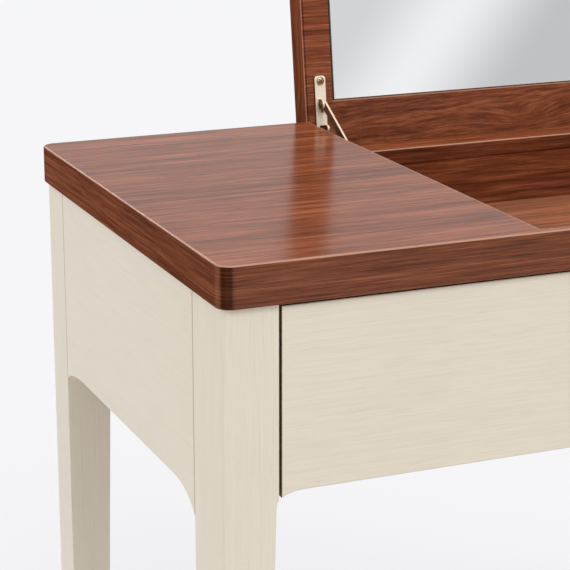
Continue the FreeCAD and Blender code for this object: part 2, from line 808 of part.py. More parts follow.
def stay_arm():
    """Flat arm with rounded ends and a guide pin, where it lies with the lid open."""
    far = guide_pin_place(0)
    pivot = opened(Part.Point(stay_pivot_closed).toShape()).Point
    x0 = -arm_x - stay_arm_thickness / 2
    half = stay_arm_height / 2
    heel = Part.makeCylinder(half, stay_arm_thickness, Vector(x0, pivot.y, pivot.z), Vector(1, 0, 0))
    toe = Part.makeCylinder(half, stay_arm_thickness, Vector(x0, far.y, far.z), Vector(1, 0, 0))
    bar = box(x0, x0 + stay_arm_thickness, -stay_arm_length, 0, -half, half)
    bar.rotate(Vector(0, 0, 0), Vector(1, 0, 0), math.degrees(arm_angle(0)))
    bar.translate(Vector(0, pivot.y, pivot.z))
    pin = rod(Vector(x0 - guide_pin_length, far.y, far.z), Vector(x0 + stay_arm_thickness, far.y, far.z),
              guide_pin_radius)
    hole = rod(Vector(x0 - 1, pivot.y, pivot.z), Vector(x0 + stay_arm_thickness + 1, pivot.y, pivot.z),
               rivet_radius + pin_clearance)
    return bar.fuse([heel, toe, pin]).cut(hole).removeSplitter()


track_face = half_opening - track_thickness


def pin_path(offset, samples=13):
    """Points beside the guide pin's path, offset to its upper or lower side."""
    points = []
    for index in range(samples):
        turn = lid_open_angle * index / (samples - 1)
        step = 0.5
        tangent = guide_pin_place(turn + step) - guide_pin_place(turn - step)
        normal = Vector(0, -tangent.z, tangent.y).normalize()
        points.append(guide_pin_place(turn) + normal * offset)
    return points


def path_band(half_width, x0, x1):
    """Curved slot shape of a given half width round the guide pin's path."""
    upper, lower = pin_path(half_width), pin_path(-half_width)
    sides = []
    for points in (upper, lower):
        curve = Part.BSplineCurve()
        curve.interpolate([Vector(x0, point.y, point.z) for point in points])
        sides.append(curve.toShape())
    band = []
    for end, turn in ((0, 0.0), (-1, lid_open_angle)):
        away = guide_pin_place(turn) - guide_pin_place(turn + (1.0 if end == 0 else -1.0))
        tip = guide_pin_place(turn) + away.normalize() * half_width
        band.append(Part.Arc(Vector(x0, upper[end].y, upper[end].z), Vector(x0, tip.y, tip.z),
                             Vector(x0, lower[end].y, lower[end].z)).toShape())
    wire = Part.Wire(Part.__sortEdges__([sides[0], band[0], sides[1], band[1]]))
    return Part.Face(wire).extrude(Vector(x1 - x0, 0, 0))


def stay_track():
    """Die-cast track on the compartment's side with a curved groove for the guide pin."""
    places = [guide_pin_place(lid_open_angle * index / 12) for index in range(13)]
    half = guide_pin_radius + groove_play
    y0 = min(place.y for place in places) - half - track_margin
    y1 = max(place.y for place in places) + half + track_margin
    z0 = min(place.z for place in places) - half - track_margin
    z1 = min(max(place.z for place in places) + half + track_margin / 2, lid_under - track_margin / 2)
    block = box(-half_opening, -track_face, y0, y1, z0, z1)
    block = ease(block, track_margin * 0.8, lambda edge: span(edge, "x")[1] - span(edge, "x")[0] > 1)
    block = ease(block, 1.0, lambda edge: lies_at(edge, "x", -track_face))
    groove = path_band(half, -track_face - track_groove_depth, -track_face + 1)
    return block.cut([groove, track_screws()])


def track_screws():
    """Two screws that hold each track to the compartment's side, under the groove's arch."""
    near = guide_pin_place(lid_open_angle)
    far = guide_pin_place(0)
    solids = []
    for share in (0.3, 0.7):
        head = Vector(-track_face, near.y + (far.y - near.y) * share, near.z)
        screw = countersunk_screw(head, Vector(-1, 0, 0), track_thickness + side_wall_thickness * 0.8,
                                  track_screw_radius, 2 * track_screw_radius)
        solids += [screw, mirrored(screw)]
    return Part.makeCompound(solids)


# ---- Drawers, drawn on the left ----

front_x0 = -leg_inner + front_gap
front_x1 = -front_gap / 2
box_x0 = -leg_inner + drawer_side_clearance
box_x1 = -divider_thickness / 2 - drawer_side_clearance
box_front = frame_front + front_thickness
bottom_z = drawer_side_bottom + drawer_bottom_rise


def drawer_bottom():
    """Thin panel let into the sides, the front and under the back."""
    return box(box_x0 + drawer_side_thickness - groove_depth, box_x1 - drawer_side_thickness + groove_depth,
               box_front - groove_depth, drawer_back, bottom_z, bottom_z + drawer_bottom_thickness)


def drawer_front():
    """Handleless front whose lower outer corner curves down towards the leg."""
    run = -curve_centre_x - front_x0
    drop = corner_curve_drop * (1 - math.sqrt(1 - (run / corner_curve_reach) ** 2))
    radius = (run ** 2 + drop ** 2) / (2 * drop)
    outline = (Outline(front_x0, front_top)
               .line(front_x1, front_top)
               .line(front_x1, front_bottom)
               .line(-curve_centre_x, front_bottom)
               .arc((-curve_centre_x, front_bottom - radius), radius,
                    90, 90 + math.degrees(math.asin(run / radius))))
    board = outline.along_y(frame_front, box_front)
    board = ease(board, front_edge_round, lambda edge: lies_at(edge, "y", frame_front))
    return board.cut(drawer_bottom())


def drawer_side(x0):
    """Side with a groove outside for the runner and one inside for the bottom."""
    x1 = x0 + drawer_side_thickness
    side = box(x0, x1, box_front, drawer_back, drawer_side_bottom, drawer_side_top)
    half = runner_height / 2 + runner_clearance
    reach = runner_engagement + runner_clearance
    g0, g1 = (x0, x0 + reach) if x0 == box_x0 else (x1 - reach, x1)
    groove = box(g0, g1, runner_start - runner_clearance, drawer_back + 1, runner_z - half, runner_z + half)
    return side.cut([groove, drawer_bottom()])


def drawer_rear():
    """Back of the drawer box, standing on the bottom."""
    return box(box_x0 + drawer_side_thickness, box_x1 - drawer_side_thickness,
               drawer_back - drawer_side_thickness, drawer_back,
               bottom_z + drawer_bottom_thickness, drawer_side_top - drawer_top_clearance)


# ---- Export ----

def main():
    nodes = {
        "top_panel": top_panel(),
        "left_front_leg": front_leg(),
        "right_front_leg": mirrored(front_leg()),
        "left_rear_leg": rear_leg(),
        "right_rear_leg": mirrored(rear_leg()),
        "leg_glides": leg_glides(),
        "left_side_apron": left_side_apron(),
        "right_side_apron": mirrored(left_side_apron()),
        "rear_apron": rear_apron(),
        "front_rail": front_rail(),
        "centre_divider": centre_divider(),
        "corner_blocks": corner_blocks(),
        "corner_bolts": corner_bolt_solids,
        "top_screws": top_screw_solids,
        "frame_dowels": dowel_solids,
        "left_runner_bearer": left_bearer(),
        "right_runner_bearer": mirrored(left_bearer()),
        "left_drawer_runners": left_runners(),
        "right_drawer_runners": mirrored(left_runners()),
        "compartment_floor": compartment_floor(),
        "compartment_left_wall": left_wall(),
        "compartment_right_wall": mirrored(left_wall()),
        "compartment_front_wall": front_wall(),
        "compartment_rear_wall": rear_wall(),
        "compartment_ledge": ledge(),
        "lid_bumpers": lid_bumpers(),
        "hinge_frame_leaves": Part.makeCompound([hinge_leaf(x, -1) for x in hinge_middles]),
        "hinge_pins": Part.makeCompound([hinge_pin(x) for x in hinge_middles]),
        "hinge_frame_screws": hinge_screws(-1),
        "hinge_lid_leaves": opened(Part.makeCompound([hinge_leaf(x, 1) for x in hinge_middles])),
        "hinge_lid_screws": opened(hinge_screws(1)),
        "lid_panel": opened(closed_lid()),
        "mirror": opened(closed_mirror()),
        "mirror_tape": opened(closed_mirror_tape()),
        "left_stay_plate": opened(stay_plate()),
        "right_stay_plate": opened(mirrored(stay_plate())),
        "stay_rivets": opened(both_sides(stay_rivet())),
        "stay_plate_screws": opened(stay_plate_screws()),
        "left_stay_arm": stay_arm(),
        "right_stay_arm": mirrored(stay_arm()),
        "left_stay_track": stay_track(),
        "right_stay_track": mirrored(stay_track()),
        "stay_track_screws": track_screws(),
    }
    drawer = {
        "drawer_front": drawer_front(),
        "drawer_outer_side": drawer_side(box_x0),
        "drawer_inner_side": drawer_side(box_x1 - drawer_side_thickness),
        "drawer_back": drawer_rear(),
        "drawer_bottom": drawer_bottom(),
    }
    for name, shape in drawer.items():
        nodes["left_" + name] = shape
        nodes["right_" + name] = mirrored(shape)

    os.makedirs("parts", exist_ok=True)
    for name, shape in nodes.items():
        shape.exportStep("parts/" + name + ".step")
        print(name, len(shape.Solids), round(shape.Volume))


main()
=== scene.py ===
"""Looks of the flip top vanity table: walnut top and lid, mirror, cream painted frame."""

import math

import bpy
import numpy as np
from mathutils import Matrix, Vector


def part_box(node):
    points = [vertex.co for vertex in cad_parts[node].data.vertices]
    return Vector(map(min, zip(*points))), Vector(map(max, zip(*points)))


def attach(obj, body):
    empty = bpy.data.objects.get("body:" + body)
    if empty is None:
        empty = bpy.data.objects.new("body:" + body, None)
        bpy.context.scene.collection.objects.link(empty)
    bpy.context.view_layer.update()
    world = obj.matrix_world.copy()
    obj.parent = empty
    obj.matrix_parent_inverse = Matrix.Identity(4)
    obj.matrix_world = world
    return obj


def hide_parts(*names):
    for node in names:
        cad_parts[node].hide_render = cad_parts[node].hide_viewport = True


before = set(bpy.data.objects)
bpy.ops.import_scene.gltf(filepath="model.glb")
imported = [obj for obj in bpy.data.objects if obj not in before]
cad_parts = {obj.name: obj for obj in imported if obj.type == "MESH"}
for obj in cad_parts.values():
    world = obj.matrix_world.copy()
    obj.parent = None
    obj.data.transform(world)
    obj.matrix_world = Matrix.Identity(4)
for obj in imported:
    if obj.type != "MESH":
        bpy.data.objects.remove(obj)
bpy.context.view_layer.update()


# ---- Camera ----
# Three-quarter view from the front left, a little above the top, framed on the left
# corner of the table.

front_edge_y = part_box("top_panel")[0].y
camera_place = (-0.9866, front_edge_y - 1.2799, 1.1297)
camera_pitch = 16.0
camera_yaw = 22.73
sensor_width = 36.0
picture_width = 570
focal_pixels = 2027.4

camera_data = bpy.data.cameras.new("camera")
camera_data.sensor_width = sensor_width
camera_data.lens = sensor_width * focal_pixels / picture_width
camera = bpy.data.objects.new("camera", camera_data)
camera.location = camera_place
camera.rotation_euler = (math.radians(90 - camera_pitch), 0, math.radians(-camera_yaw))
bpy.context.scene.collection.objects.link(camera)
bpy.context.scene.camera = camera
bpy.context.scene.view_settings.view_transform = "Standard"


# ---- Room ----
# A pale studio: even light from all round, three soft suns for its lamps, and a floor that
# meets the room in the same shade. Two grey drapes with a gap between them hang behind the
# viewer, and only mirrored rays show them.

room_white = (0.922, 0.922, 0.939)
room_light = (0.74, 0.74, 0.74)
floor_reach = 40.0
floor_grey = (0.55, 0.55, 0.55)
floor_seen = (0.18, 0.18, 0.18)
floor_glow = (0.713, 0.713, 0.730)      # brings the floor, where it is seen, to the room's white
gap_place = 0.386                       # bearing of the gap between the drapes, in radians
gap_slant = 0.872
left_drape_shade = 0.247
left_drape_blur = 0.050
right_drape_shade = 0.381
right_drape_blur = 0.059


class Value:
    """A number that varies over a surface: the output socket of a node in a tree.

    Arithmetic on it adds Math nodes, and gives the output of the last one.
    """

    def __init__(self, tree, socket):
        self.tree = tree
        self.socket = socket

    def __add__(self, other):
        return self.tree.math("ADD", self, other)

    def __radd__(self, other):
        return self.tree.math("ADD", other, self)

    def __sub__(self, other):
        return self.tree.math("SUBTRACT", self, other)

    def __rsub__(self, other):
        return self.tree.math("SUBTRACT", other, self)

    def __mul__(self, other):
        return self.tree.math("MULTIPLY", self, other)

    def __rmul__(self, other):
        return self.tree.math("MULTIPLY", other, self)

    def __abs__(self):
        return self.tree.math("ABSOLUTE", self)

    def rises(self, low, high):
        """0 below low, 1 above high and a smooth step between; it falls where low > high."""
        return self.tree.add("ShaderNodeMapRange", {"interpolation_type": "SMOOTHSTEP"},
                             {"Value": self, "From Min": low, "From Max": high})


class Tree:
    """The node tree of a finish or of the world."""

    def __init__(self, owner):
        owner.use_nodes = True
        self.nodes = owner.node_tree.nodes
        self.links = owner.node_tree.links

    def add(self, kind, settings, inputs, output=0):
        """Put in a node: first its settings, then the values or links of its sockets."""
        node = self.nodes.new(kind)
        for name, setting in settings.items():
            if name == "stops":
                ramp = node.color_ramp
                while len(ramp.elements) < len(setting):
                    ramp.elements.new(0.5)
                for element, (position, colour) in zip(ramp.elements, setting):
                    element.position = position
                    element.color = (*colour, 1.0)
            else:
                setattr(node, name, setting)
        self.feed(node, inputs)
        return Value(self, node.outputs[output])

    def feed(self, node, inputs):
        """Give sockets, by name or number, their values or links."""
        for name, value in inputs.items():
            socket = node.inputs[name]
            if isinstance(value, Value):
                self.links.new(value.socket, socket)
            else:
                socket.default_value = (*value, 1.0) if socket.type == "RGBA" else value

    def math(self, operation, *values):
        """A Math node on one or two values."""
        return self.add("ShaderNodeMath", {"operation": operation}, dict(enumerate(values)))

    def point(self, x, y, z):
        """A vector of three values."""
        return self.add("ShaderNodeCombineXYZ", {}, {"X": x, "Y": y, "Z": z})

    def parts(self, vector):
        """The X, Y and Z of a vector."""
        split = self.add("ShaderNodeSeparateXYZ", {}, {"Vector": vector}).socket.node
        return [Value(self, socket) for socket in split.outputs]

    def noise(self, x, y, z, detail=2.0, roughness=0.5):
        """Cloudy noise about 0.5, whose lumps are one unit across in x, y and z."""
        return self.add("ShaderNodeTexNoise", {},
                        {"Vector": self.point(x, y, z), "Scale": 1.0, "Detail": detail,
                         "Roughness": roughness})

    def blend(self, share, first, second):
        """A colour between two others."""
        return self.add("ShaderNodeMix", {"data_type": "RGBA"}, {0: share, 6: first, 7: second},
                        output=2)

    def scaled(self, colour, level):
        """A colour made lighter or darker by a level."""
        return self.add("ShaderNodeVectorMath", {"operation": "SCALE"},
                        {0: colour, "Scale": level})


def shown_rays(tree):
    """1 for rays mirrored on the way, and 1 for all rays that show a surface or the room."""
    path = tree.add("ShaderNodeLightPath", {}, {}).socket.node.outputs
    seen, mirrored, through = [Value(tree, path[name]) for name in
                               ("Is Camera Ray", "Is Glossy Ray", "Is Transmission Ray")]
    return mirrored, tree.math("MAXIMUM", tree.math("MAXIMUM", seen, mirrored), through)


world = bpy.data.worlds.new("room")
bpy.context.scene.world = world
air = Tree(world)
mirrored, is_shown = shown_rays(air)
east, north, up = air.parts(air.add("ShaderNodeTexCoord", {}, {}))
bearing = air.math("ARCTAN2", east, 0 - north)
from_gap = bearing - up * gap_slant - gap_place
in_drapes = north.rises(-0.2, -0.5) * up.rises(0.0, 0.05) * up.rises(0.50, 0.25) * mirrored
left_shade = in_drapes * from_gap.rises(0, -left_drape_blur) * left_drape_shade
right_shade = in_drapes * from_gap.rises(0, right_drape_blur) * right_drape_shade
shown = air.scaled(room_white, (1 - left_shade) * (1 - right_shade))
air.feed(air.nodes["Background"], {"Color": air.blend(is_shown, room_light, shown)})


def sun(name, towards, level, spread):
    """A soft sun in a direction, with its spread in degrees.

    level is what it adds to a white face that is square to it.
    """
    data = bpy.data.lights.new(name, "SUN")
    data.energy = level * math.pi
    data.angle = math.radians(spread)
    lamp = bpy.data.objects.new(name, data)
    east_part, north_part, up_part = towards
    lamp.rotation_euler = (math.atan2(math.hypot(east_part, north_part), up_part), 0,
                           math.atan2(east_part, -north_part))
    bpy.context.scene.collection.objects.link(lamp)


sun("key_sun", (0.12, -0.58, 0.81), 0.39, 24)
sun("side_sun", (-0.90, 0.05, 0.42), 0.16, 30)
sun("rim_sun", (-0.22, 0.88, 0.36), 0.12, 14)

floor_mesh = bpy.data.meshes.new("floor")
floor_corners = floor_reach * np.array([(-1, -1, 0), (1, -1, 0), (1, 1, 0), (-1, 1, 0)], float)
floor_mesh.from_pydata(floor_corners.tolist(), [], [(0, 1, 2, 3)])
floor = bpy.data.objects.new("floor", floor_mesh)
bpy.context.scene.collection.objects.link(floor)
floor_paint = bpy.data.materials.new("floor_paint")
floor_tree = Tree(floor_paint)
is_shown = shown_rays(floor_tree)[1]
floor_tree.feed(floor_tree.nodes["Principled BSDF"],
                {"Base Color": floor_tree.blend(is_shown, floor_grey, floor_seen),
                 "Roughness": 1.0, "Specular IOR Level": 0.0,
                 "Emission Color": floor_tree.blend(is_shown, (0, 0, 0), floor_glow),
                 "Emission Strength": 1.0})
floor_mesh.materials.append(floor_paint)


# ---- Painted frame ----
# Legs, aprons and drawer fronts are hardwood under a satin cream paint. Fine lines of the
# grain show through it: upright on the legs, level on the rest. The ends, top edges and
# upper backs of the fronts, which line the gaps round them, are painted dark as painted shade.

cream = (0.820, 0.743, 0.620)
cream_low = (0.690, 0.605, 0.475)       # in the brush marks and open pores
brush_width = 0.0012                    # of the lines in the paint
brush_length = 0.075
pore_fineness = 2.2                     # pores are so much finer than brush marks
paint_relief = 0.00006
# A dark brown painted shade for the faces in the gaps round the drawer fronts.
gap_shade = (0.195, 0.105, 0.060)
gap_shade_low = (0.110, 0.055, 0.030)
front_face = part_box("left_drawer_front")[0].y
front_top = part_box("left_drawer_front")[1].z
gap_shade_foot = front_top - 0.020          # the painted gap shade ends here on the back of a front


class Finish(Tree):
    """A material for some pieces: its nodes end in the shader's sockets."""

    def __init__(self, name, **uniform):
        """Uniform values are the same all over, such as Coat_Roughness=0.2."""
        self.material = bpy.data.materials.new(name)
        super().__init__(self.material)
        self.shader = self.nodes["Principled BSDF"]
        self.feed(self.shader, {key.replace("_", " "): value for key, value in uniform.items()})

    def place(self):
        """The X, Y and Z of a point of the piece, in metres."""
        return self.parts(self.add("ShaderNodeTexCoord", {}, {}, output="Object"))

    def facing(self):
        """How far the surface faces along X, Y and Z, from 0 to 1."""
        normal = self.add("ShaderNodeTexCoord", {}, {}, output="Normal")
        return [abs(part) for part in self.parts(normal)]

    def grain(self, lumps, detail=2.0, roughness=0.5):
        """Noise with so many lumps to a metre along X, Y and Z."""
        return self.noise(*[part * count for part, count in zip(self.place(), lumps)],
                          detail=detail, roughness=roughness)

    def surface(self, colour, roughness, height, relief, **others):
        """Feed the shader; height in units of relief, in metres, stands up as a bump."""
        bump = self.add("ShaderNodeBump", {}, {"Height": height, "Distance": relief})
        inputs = {"Base Color": colour, "Roughness": roughness, "Normal": bump}
        inputs.update({key.replace("_", " "): value for key, value in others.items()})
        self.feed(self.shader, inputs)

    def on(self, *names):
        """Give CAD nodes or pieces this finish."""
        for name in names:
            mesh = bpy.data.objects[name].data
            mesh.materials.clear()
            mesh.materials.append(self.material)


def cream_paint(name, along, strength, shaded_gaps=False):
    """Cream paint brushed along one axis, 0 for X, 1 for Y and 2 for Z.

    Brush marks and open pores are blended in by strength. Where the gaps are shaded, the
    front's ends, its top edge and the upper part of its back get a dark painted shade.
    """
    finish = Finish(name, Coat_Roughness=0.25, Coat_Weight=0.08)
    marks = [1 / brush_width] * 3
    marks[along] = 1 / brush_length
    lines = finish.grain(marks, detail=3, roughness=0.6)
    open_pore = finish.grain([mark * pore_fineness for mark in marks], detail=1).rises(0.60, 0.74)
    cloud = finish.grain((9, 9, 9)).rises(0.35, 0.7)
    brushed = (open_pore * 0.42 + lines.rises(0.35, 0.72) * 0.38) * strength
    colour = finish.blend(brushed + cloud * 0.08, cream, cream_low)
    if shaded_gaps:
        x, y, z = finish.place()
        face_x, face_y, face_z = finish.facing()
        fibres = finish.grain((700, 60, 700), detail=3)
        # The faces in the gaps get a dark painted shade.
        painted_gap_shade = finish.blend(fibres.rises(0.4, 0.65), gap_shade, gap_shade_low)
        behind = (y - front_face).rises(0.0006, 0.0012) * z.rises(gap_shade_foot, gap_shade_foot + 0.0005)
        in_gap = finish.math("MAXIMUM", face_x.rises(0.8, 0.95), behind)
        colour = finish.blend(in_gap, colour, painted_gap_shade)
    finish.surface(colour, 0.44 + lines * 0.10, lines * 0.6 - open_pore, paint_relief)
    return finish


cream_paint("cream_upright", 2, 0.65).on(
    "left_front_leg", "right_front_leg", "left_rear_leg", "right_rear_leg")
cream_paint("cream_front", 0, 0.85, shaded_gaps=True).on("left_drawer_front", "right_drawer_front")
cream_paint("cream_level", 0, 0.85).on("rear_apron")
cream_paint("cream_deep", 1, 0.5).on("left_side_apron", "right_side_apron")


# ---- Walnut top panel ----
# A thick board veneered with straight-grained walnut under a clear lacquer. The grain runs
# along the table on the face, and along each edge on the lipping.

walnut_pale = (0.395, 0.124, 0.055)
walnut_mid = (0.215, 0.057, 0.021)
walnut_dark = (0.090, 0.023, 0.009)
walnut_highlight = (0.62, 0.36, 0.25)      # paler walnut for painted highlights and painted sheen
lacquer_roughness = 0.19
veneer_roughness = 0.46
veneer_relief = 0.00005
drift_grain = (3.2, 7)                  # lumps to a metre along the grain and across it
band_grain = (1.3, 45)
streak_grain = (9, 220)
fibre_grain = (26, 900)
pore_grain = (65, 1150)


def walnut(finish, along, across, layer, tone=1.0, wander=0.012):
    """Walnut veneer: streaks are noise drawn out along the grain, on lines that wander a little.

    Broad bands, streaks and fibres are added in shares, and short dark pores lie on top. layer
    tells one veneer from another, and tone makes the colour lighter or darker. Gives the colour
    and the height of the grain.
    """
    def grain(lumps, line, detail=2.0, roughness=0.5):
        return finish.noise(along * lumps[0], line * lumps[1], layer, detail, roughness)

    line = across + (grain(drift_grain, across) - 0.5) * wander
    bands = grain(band_grain, line, detail=3, roughness=0.6)
    streaks = grain(streak_grain, line, detail=4, roughness=0.7)
    fibres = grain(fibre_grain, line)
    pores = grain(pore_grain, line).rises(0.60, 0.72)
    shade = bands * 0.27 + streaks * 0.53 + fibres * 0.20
    stretched = finish.add("ShaderNodeMapRange", {},
                           {"Value": shade, "From Min": 0.39, "From Max": 0.61})
    colour = finish.add("ShaderNodeValToRGB",
                        {"stops": [(0.0, walnut_dark), (0.48, walnut_mid), (1.0, walnut_pale)]},
                        {"Fac": stretched})
    return finish.scaled(colour, (1 - pores * 0.35) * tone), fibres * 0.5 - pores


def lacquered(name, **uniform):
    """A finish whose only gloss is its lacquer."""
    return Finish(name, Specular_IOR_Level=0.0, Coat_Roughness=lacquer_roughness, **uniform)


def upper_arris(z, top):
    """1 in the upper 5 mm of a board whose face is at top, where its edges are eased."""
    return z.rises(top - 0.006, top - 0.005)


top_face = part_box("top_panel")[1].z
opening_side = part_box("compartment_ledge")[1].x
lip_width = 0.009                       # of the strip in front of the lid

top_finish = lacquered("walnut_top")
x, y, z = top_finish.place()
face_x, face_y, face_z = top_finish.facing()
on_edge = face_z.rises(0.8, 0.6)
on_side = face_x.rises(0.5, 0.85)
eased = face_z.rises(0.25, 0.5) * face_z.rises(0.998, 0.97) * upper_arris(z, top_face)
# Round a corner the lipping darkens, partly as end grain and partly as painted shade, beside a
# stretch that is paled as a painted highlight.
end_grain_shade = on_edge * face_x.rises(0.04, 0.30) * face_y.rises(0.42, 0.70)
corner_highlight = on_edge * face_x.rises(0.6, 0.8) * face_y.rises(0.03, 0.25) * face_y.rises(0.66, 0.45)
behind_lip = (y - front_edge_y - lip_width).rises(-0.0005, 0.0005)
# A painted highlight along the opening's eased edges.
opening_highlight = abs(abs(x) - opening_side).rises(0.0030, 0.0016) * behind_lip
# On the edges the grain follows the lipping, and is finer.
round_corner = (y - front_edge_y) * top_finish.math("SIGN", x) * abs(x).rises(0.10, 0.12)
along = (x + on_edge * round_corner) * (1 + on_edge * 0.4)
across = y + on_edge * (z * (1 + on_edge * 1.6) - y)
tone = (1.0 - on_edge * 0.24) * (1 - end_grain_shade * 0.64)
colour, height = walnut(top_finish, along, across, on_edge * 3.0, tone)
# Eased edges, a stretch of each corner and the opening's edges are paled: painted highlights.
painted_highlight = eased * (0.48 + face_y * 0.30) + corner_highlight * 0.11 + opening_highlight * (1 - on_edge) * 0.38
top_finish.surface(top_finish.blend(painted_highlight, colour, walnut_highlight), veneer_roughness,
                   height, veneer_relief,
                   Coat_Weight=0.54 - on_edge * 0.10 - on_side * 0.40 - end_grain_shade * 0.3)
top_finish.on("top_panel")


# ---- Compartment under the lid ----
# Veneered boards glued up as a tray, with the grain along the table. The ledge behind it is
# a lacquered board that the hinges are let into.

inside_relief = 0.00004
ledge_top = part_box("compartment_ledge")[1].z

inside_finish = lacquered("walnut_inside", Coat_Weight=0.35)
x, y, z = inside_finish.place()
face_x, face_y, face_z = inside_finish.facing()
upright = face_z.rises(0.7, 0.5)
sideways = face_x.rises(0.5, 0.7)
# Level faces are lighter and paler than upright ones: a painted sheen on the floor and painted
# shade on the walls.
colour, height = walnut(inside_finish, x + sideways * (y - x), y + upright * (z - y),
                        5.0 + upright, 1.15 - upright * 0.35)
inside_finish.surface(inside_finish.blend(0.15 - upright * 0.15, colour, walnut_highlight), 0.5,
                      height, inside_relief)
inside_finish.on("compartment_floor", "compartment_left_wall", "compartment_right_wall",
                 "compartment_front_wall", "compartment_rear_wall", "front_rail")

ledge_finish = lacquered("walnut_ledge", Coat_Weight=0.5)
x, y, z = ledge_finish.place()
face_x, face_y, face_z = ledge_finish.facing()
on_front = face_z.rises(0.55, 0.25)
eased = face_z.rises(0.2, 0.45) * face_z.rises(0.99, 0.93) * upper_arris(z, ledge_top)
# The front face is darker, as painted shade, and the eased arris is paled as a painted highlight.
colour, height = walnut(ledge_finish, x, y + z, 9.0, 1 - on_front * 0.35)
ledge_finish.surface(ledge_finish.blend(eased * 0.6, colour, walnut_highlight), 0.42,
                     height, inside_relief)
ledge_finish.on("compartment_ledge")


# ---- Lid panel ----
# A veneered board that carries the mirror in a recess. Its grain runs along the table on
# both faces, with a flame figure below the mirror, and up the lid on the lipping of its
# sides, whose glue line shows beside the arris.

open_angle = 98
lean = math.radians(open_angle - 90)
hinge_low, hinge_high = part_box("hinge_pins")
hinge_y = (hinge_low.y + hinge_high.y) / 2
hinge_z = (hinge_low.z + hinge_high.z) / 2
lid_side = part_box("lid_panel")[1].x
mirror_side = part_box("mirror")[1].x
recess_foot = 0.0477                    # lower edge of the recess above the hinge
flame_x = 0.002
flame_rise = 0.018                      # middle of the flame above the hinge
flame_length = 0.045
flame_height = 0.011
flame_depth = 0.010                     # how far the flame bends the grain
band_top = 0.07                         # the band with the flame fades out up to here
band_full = 0.04
band_slant = 0.05                       # fall of the grain across the band
lid_middle = 0.0175                     # between the lid's two faces, out from the hinge
lipping = 0.0021                        # thickness of the strips on the lid's sides


def lid_place(finish):
    """A point of the open lid: across the table, out from the hinge, and up the lid."""
    spot = finish.add("ShaderNodeTexCoord", {}, {}, output="Object")
    from_hinge = finish.add("ShaderNodeVectorMath", {"operation": "SUBTRACT"},
                            {0: spot, 1: (0, hinge_y, hinge_z)})
    return finish.parts(finish.add("ShaderNodeMapping", {},
                                   {"Vector": from_hinge, "Rotation": (lean, 0, 0)}))


lid_finish = lacquered("walnut_lid")
x, out, rise = lid_place(lid_finish)
face_x, face_y, face_z = lid_finish.facing()
on_side = face_x.rises(0.55, 0.8)
on_rim = face_z.rises(0.6, 0.85)
on_back = out.rises(lid_middle - 0.0015, lid_middle + 0.0015) * face_y.rises(0.5, 0.8)
in_band = rise.rises(band_top, band_full) * (1 - on_back)
eased = (face_x.rises(0.12, 0.3) * face_x.rises(0.97, 0.88)
         * abs(x).rises(lid_side - 0.003, lid_side - 0.0015))
# A painted highlight on the arris below the mirror's recess.
recess_highlight = (rise.rises(recess_foot - 0.0014, recess_foot - 0.0010)
             * rise.rises(recess_foot + 0.0002, recess_foot)
             * abs(x).rises(mirror_side + 0.0012, mirror_side + 0.0004))
glue_line = (abs(abs(x) - (lid_side - lipping)).rises(0.0010, 0.0005)
             * face_x.rises(0.3, 0.1) * (1 - on_back))
# The flame is a bell-shaped swelling that lifts the lines of the grain in the band.
off_x = (x - flame_x) * (1 / flame_length)
off_rise = (rise - flame_rise) * (1 / flame_height)
flame = lid_finish.math("EXPONENT", 0 - off_x * off_x - off_rise * off_rise) * flame_depth
bent = rise + (flame - x * band_slant) * in_band
along = (x + on_side * (rise - x)) * (1.7 + in_band * 1.3 - on_back * 0.7)
across = (bent + (on_side + on_rim) * (out - bent)) * (2.3 - in_band * 0.7 - on_back * 1.3)
# The eased arrises of the sides are made lighter, here and in the blend below: a painted highlight.
tone = ((1.10 - on_side * 0.36 - in_band * 0.16 - on_back * 0.10) * (1 + eased * 0.5)
        * (1 - glue_line * 0.6))
colour, height = walnut(lid_finish, along, across, 13.0 + on_side + on_back * 3.0, tone,
                        wander=0.014)
painted_highlight = (eased * 0.3 + recess_highlight * 0.6) * (1 - on_back)
lid_finish.surface(lid_finish.blend(painted_highlight, colour, walnut_highlight), veneer_roughness,
                   height, veneer_relief,
                   Coat_Weight=0.30 - on_side * 0.28 + eased * 0.2 + on_back * 0.24)
lid_finish.on("lid_panel")


# ---- Mirror ----
# Silvered glass with a ground edge, held in its recess with strips of foam tape. The edge
# shows the green of the glass.

ground_edge = 0.0014
silver = (0.93, 0.935, 0.935)
edge_green = (0.030, 0.070, 0.055)
foam_white = (0.75, 0.75, 0.73)
foam_shade = (0.60, 0.60, 0.58)

mirror_finish = Finish("mirror_glass", Coat_Weight=0.0)
x, out, rise = lid_place(mirror_finish)
in_edge = (mirror_side - abs(x)).rises(ground_edge, ground_edge * 0.5)
smear = mirror_finish.noise(x * 14, rise * 14, out).rises(0.4, 0.9)
mirror_finish.feed(mirror_finish.shader,
                   {"Base Color": mirror_finish.blend(in_edge, silver, edge_green),
                    "Roughness": 0.015 + smear * 0.012 + in_edge * 0.15,
                    "Metallic": 1 - in_edge})
mirror_finish.on("mirror")

tape_finish = Finish("foam_tape")
cells = tape_finish.grain((900, 900, 900))
tape_finish.surface(tape_finish.blend(cells, foam_white, foam_shade), 0.9, cells, 0.0001)
tape_finish.on("mirror_tape")


# ---- Lid stays ----
# Stamped plates and flat arms in satin champagne brass, joined by darker rivets. Faces to the
# sides, such as the arms' broad ones, are browned as a painted reflection of the wood round them,
# and edges that face up are rosy as a painted reflection. The tracks are die cast.

champagne = (1.0, 0.92, 0.76)
champagne_low = (1.0, 0.88, 0.69)
rose_reflection = (0.90, 0.66, 0.50)               # painted reflection on the narrow edges that face up
reflected_brown = (0.105, 0.038, 0.009)          # painted reflection of the wood, on faces to the sides
metal_relief = 0.00001

